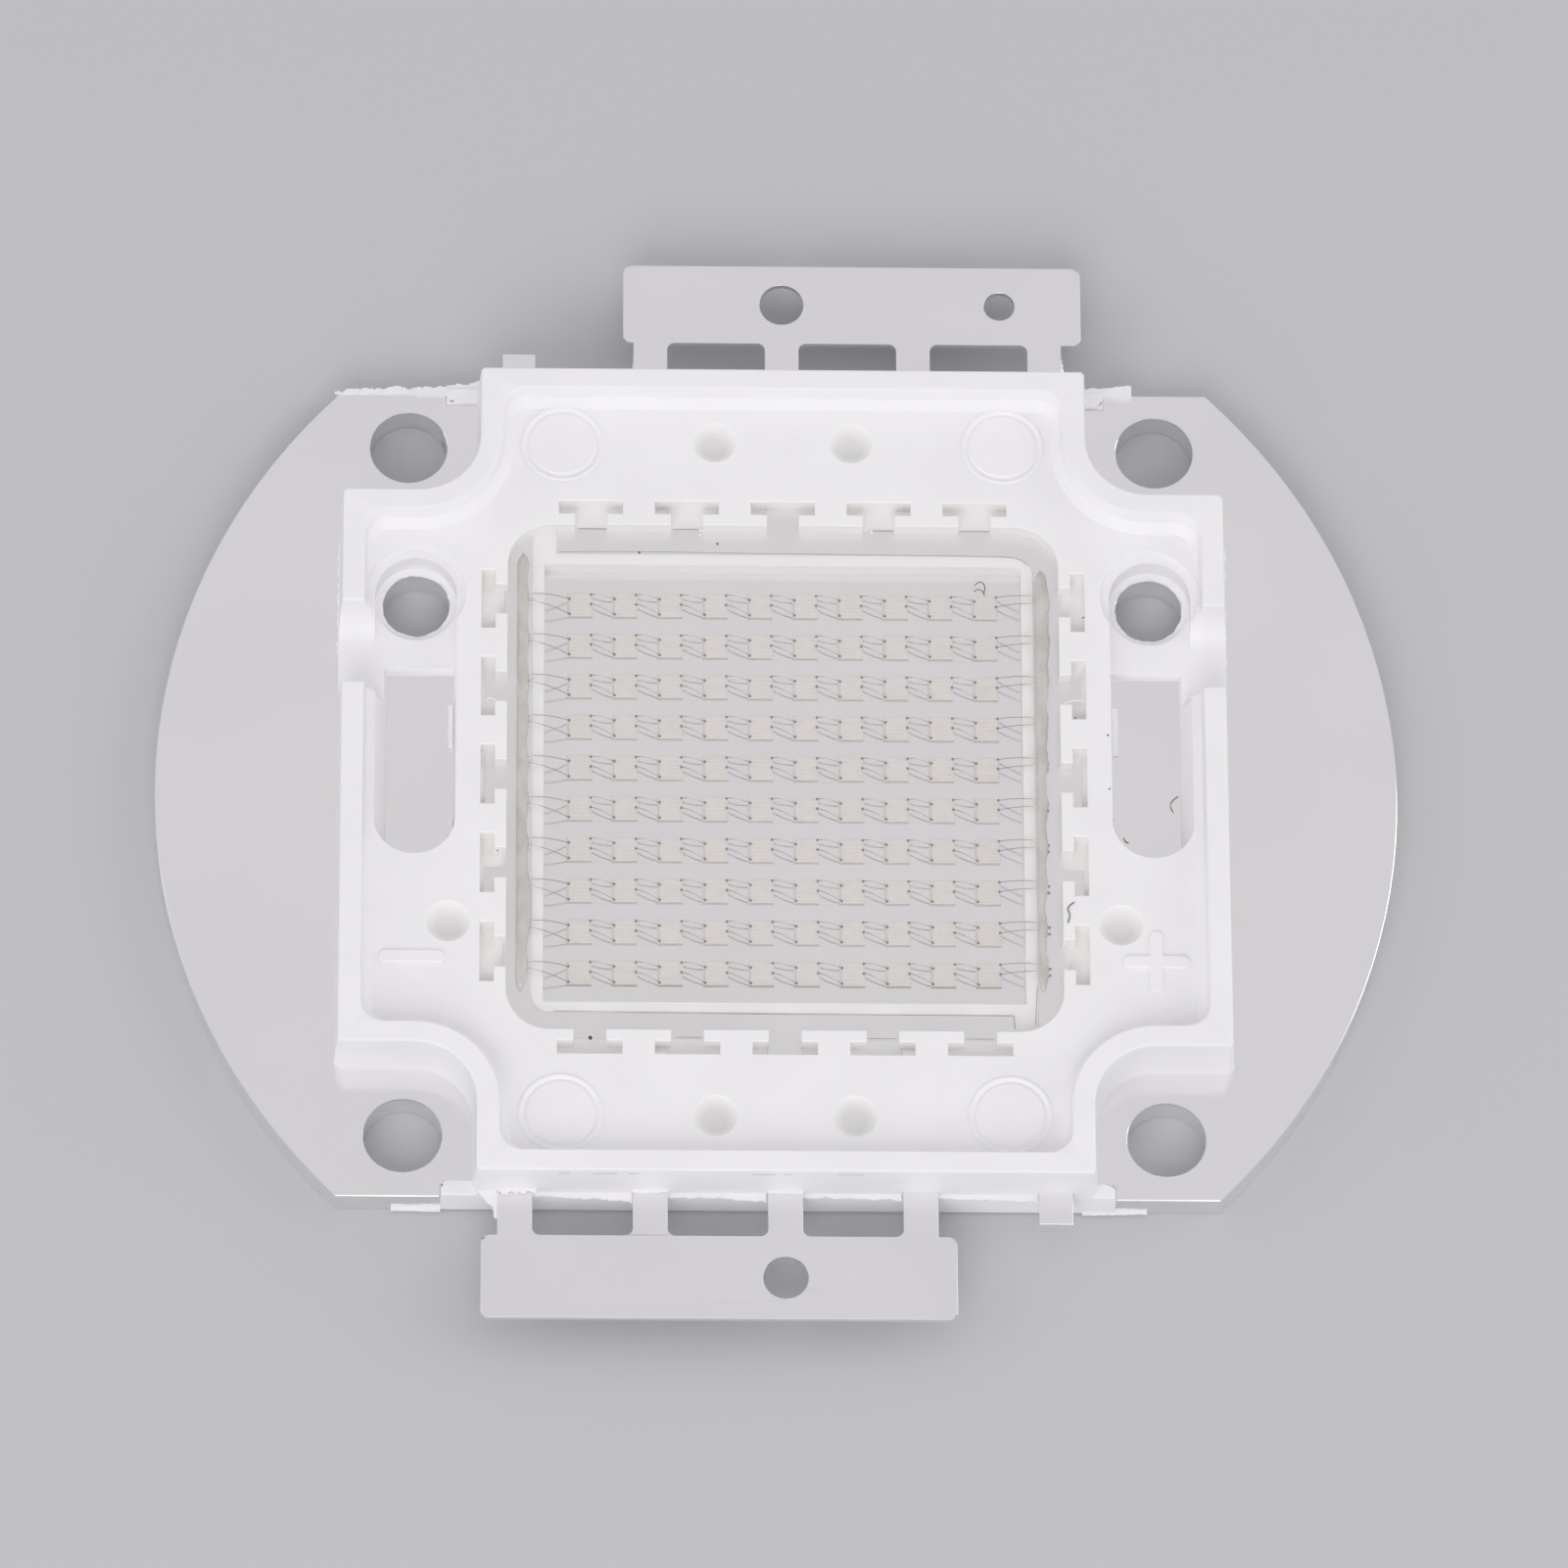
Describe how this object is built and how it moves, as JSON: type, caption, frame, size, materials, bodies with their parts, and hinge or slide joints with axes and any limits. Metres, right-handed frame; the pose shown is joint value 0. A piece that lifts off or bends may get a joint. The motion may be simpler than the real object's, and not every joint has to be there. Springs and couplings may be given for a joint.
{
  "type": "uv led chip",
  "caption": "High-power ultraviolet LED chip-on-board module: die array under clear silicone in a white frame on an oval metal base with solder tabs.",
  "frame": {"origin": "centre of the base plate's underside, which is also the centre of the overall box", "axes": "+Z out of the light-emitting face, +Y towards the solder tab of the positive lead, +X towards the plus sign"},
  "size_m": [0.056, 0.052, 0.0043],
  "materials": {
    "plated_base": "satin silver plating on copper",
    "plated_leads": "satin silver plating on stamped copper alloy",
    "white_plastic": "matt moulded, high-temperature nylon",
    "die": "satin",
    "bead_adhesive": "glossy",
    "silicone": "clear"
  },
  "bodies": {
    "root": {"base_plate": "plated_base", "frame": "white_plastic", "lead_positive": "plated_leads", "lead_negative": "plated_leads", "encapsulant": "silicone", "bead_negative": "bead_adhesive", "bead_positive": "bead_adhesive", "die_row_01": "die", "die_row_02": "die", "die_row_03": "die", "die_row_04": "die", "die_row_05": "die", "die_row_06": "die", "die_row_07": "die", "die_row_08": "die", "die_row_09": "die", "die_row_10": "die"}
  },
  "joints": []
}
